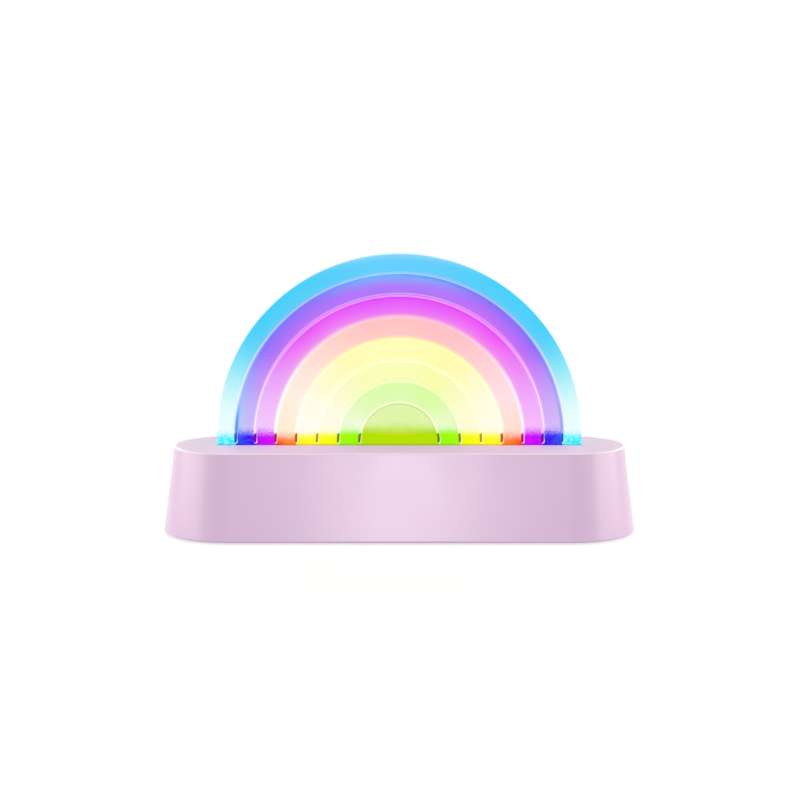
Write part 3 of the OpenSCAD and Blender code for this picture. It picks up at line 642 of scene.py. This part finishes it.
# Floor, backdrop and light
def floor(half_width):
    """A matt floor that keeps the lamp's shadow. To the camera it turns pure white away from the lamp."""
    s = half_width
    mesh = bpy.data.meshes.new("floor")
    mesh.from_pydata([(-s, -s, 0), (s, -s, 0), (s, s, 0), (-s, s, 0)], [], [(0, 1, 2, 3)])
    piece = bpy.data.objects.new("floor", mesh)
    bpy.context.scene.collection.objects.link(piece)
    m = Maker("white floor")
    m.link(m.mix(m.noise(3.0), colour((208, 208, 208)), colour((214, 214, 214))), m.shader.inputs["Base Color"])
    m.set(Roughness=0.9, Specular_IOR_Level=0.0)
    path = m.add("ShaderNodeLightPath")
    seen = m.math("MAXIMUM", path.outputs["Is Camera Ray"], path.outputs["Is Glossy Ray"])
    reach = m.add("ShaderNodeVectorMath", operation="LENGTH")
    m.link(m.place, reach.inputs[0])
    whiteness = m.remap(reach.outputs["Value"], 0.18, 0.5, 0.5, 1.0, smooth=True)
    lift = m.add("ShaderNodeEmission")
    m.link(m.math("MULTIPLY", seen, 0.5), lift.inputs["Strength"])
    lifted = m.add("ShaderNodeAddShader")
    m.link(m.shader.outputs[0], lifted.inputs[0])
    m.link(lift.outputs[0], lifted.inputs[1])
    white = m.add("ShaderNodeEmission")
    for glow in (lift, white):
        glow.inputs["Color"].default_value = (1, 1, 1, 1)
    blend = m.add("ShaderNodeMixShader")
    m.link(m.math("MULTIPLY", seen, whiteness), blend.inputs[0])
    m.link(lifted.outputs[0], blend.inputs[1])
    m.link(white.outputs[0], blend.inputs[2])
    m.link(blend.outputs[0], m.tree.nodes["Material Output"].inputs["Surface"])
    mesh.materials.append(m.material)


def white_world(level):
    """A world that lights the scene at the given level and is itself seen as white."""
    world = bpy.data.worlds.new("studio")
    bpy.context.scene.world = world
    world.use_nodes = True
    tree = world.node_tree
    lit = tree.nodes["Background"]
    lit.inputs["Strength"].default_value = level
    white = tree.nodes.new("ShaderNodeBackground")
    white.inputs["Strength"].default_value = 1.0
    for background in (lit, white):
        background.inputs["Color"].default_value = (1, 1, 1, 1)
    path = tree.nodes.new("ShaderNodeLightPath")
    seen = path.outputs["Is Camera Ray"]
    for ray in ("Is Glossy Ray", "Is Transmission Ray"):
        either = tree.nodes.new("ShaderNodeMath")
        either.operation = "MAXIMUM"
        tree.links.new(seen, either.inputs[0])
        tree.links.new(path.outputs[ray], either.inputs[1])
        seen = either.outputs[0]
    blend = tree.nodes.new("ShaderNodeMixShader")
    tree.links.new(seen, blend.inputs[0])
    tree.links.new(lit.outputs[0], blend.inputs[1])
    tree.links.new(white.outputs[0], blend.inputs[2])
    tree.links.new(blend.outputs[0], tree.nodes["World Output"].inputs["Surface"])


def softbox(name, place, aim, size, power, tint=(255, 255, 255)):
    """A rectangular lamp that faces the point aim."""
    data = bpy.data.lights.new(name, "AREA")
    data.shape = "RECTANGLE"
    data.size, data.size_y = size
    data.energy = power
    data.color = [float(v) for v in linear(tint)]
    lamp = bpy.data.objects.new(name, data)
    lamp.location = place
    direction = np.asarray(aim, float) - np.asarray(place, float)
    turn = math.atan2(direction[1], direction[0])
    tilt = math.atan2(-direction[2], math.hypot(direction[0], direction[1]))
    lamp.rotation_euler = (math.pi / 2 - tilt, 0, turn - math.pi / 2)
    bpy.context.scene.collection.objects.link(lamp)


floor(half_width=6.0)
white_world(level=0.12)
REAR = {"aim": (0, 0, 0.05), "size": (0.7, 0.5), "power": 5.4}
SIDE = {"size": (0.7, 0.4), "power": 3.0, "tint": (255, 251, 230)}
softbox("left rear softbox", (-0.80, 1.0, 0.4), **REAR)
softbox("right rear softbox", (0.80, 1.0, 0.4), **REAR)
softbox("top softbox", (0.0, -0.3, 1.15), aim=(0, 0, 0), size=(1.2, 0.25), power=4.4)
softbox("softbox by the camera", (0.0, -0.68, 0.08), aim=(0, -0.03, 0.02), size=(0.09, 0.16), power=0.78,
        tint=(255, 251, 246))
softbox("left softbox", (-0.70, -0.12, 0.20), aim=(-0.08, 0, 0.02), **SIDE)
softbox("right softbox", (0.70, -0.12, 0.20), aim=(0.08, 0, 0.02), **SIDE)

bpy.context.scene.view_settings.view_transform = "Standard"
